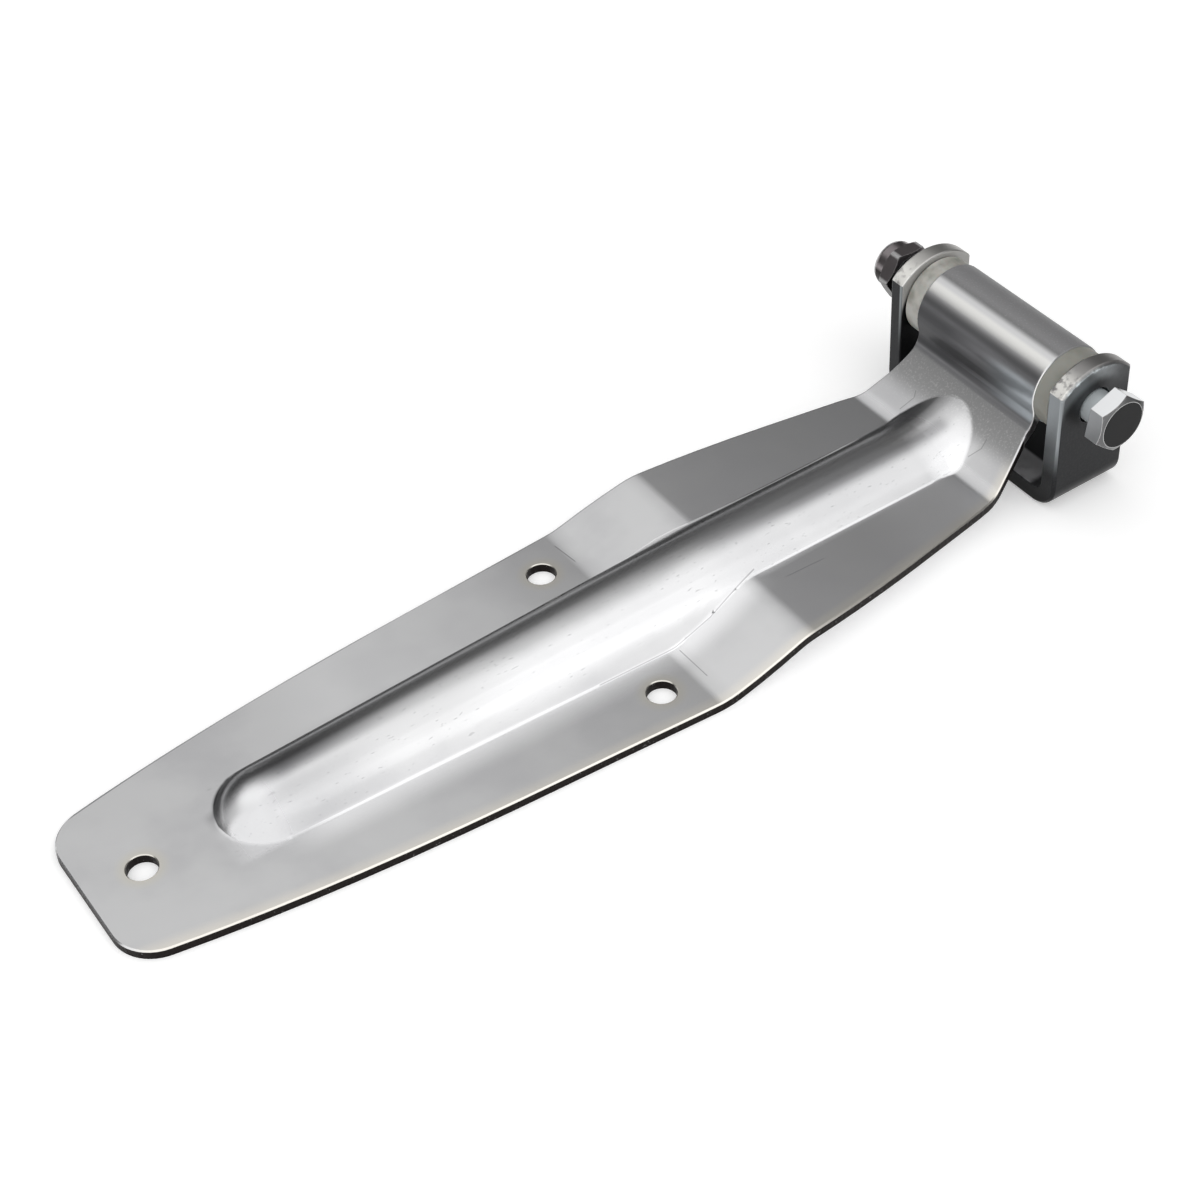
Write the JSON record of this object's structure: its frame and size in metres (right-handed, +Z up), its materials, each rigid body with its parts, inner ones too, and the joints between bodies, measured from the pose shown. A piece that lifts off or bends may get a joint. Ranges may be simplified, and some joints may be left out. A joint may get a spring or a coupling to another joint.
{
  "type": "rear door hinge",
  "caption": "Strap hinge for a rear door: pressed, stepped and beaded leaf with a rolled eye, swinging on a bolt in a U bracket.",
  "frame": {"origin": "middle of the bracket's fixing face, right under the hinge axis", "axes": "+X from the hinge axis along the leaf to its free end, +Y along the hinge axis to the bolt head, +Z up from the fixing faces"},
  "size_m": [0.374, 0.1197, 0.056],
  "materials": {
    "leaf_plate": "bright zinc plate, satin",
    "bracket_plate": "zinc plate, darker satin",
    "bolt_plate": "bright zinc plate",
    "nut_plate": "bright zinc plate",
    "ring_nylon": "natural nylon",
    "bush_nylon": "natural nylon, greyed ivory"
  },
  "bodies": {
    "bracket_body": {"bracket": "bracket_plate", "hinge_bolt": "bolt_plate", "lock_nut": "nut_plate", "locking_ring": "ring_nylon"},
    "leaf_body": {"strap_leaf": "leaf_plate", "head_side_bush": "bush_nylon", "nut_side_bush": "bush_nylon"}
  },
  "joints": [
    {"name": "leaf_swing", "type": "hinge", "parent": "bracket_body", "child": "leaf_body", "pos_m": [0, 0, 0.04], "axis": [0, -1, 0], "range_deg": [0, 270]}
  ]
}
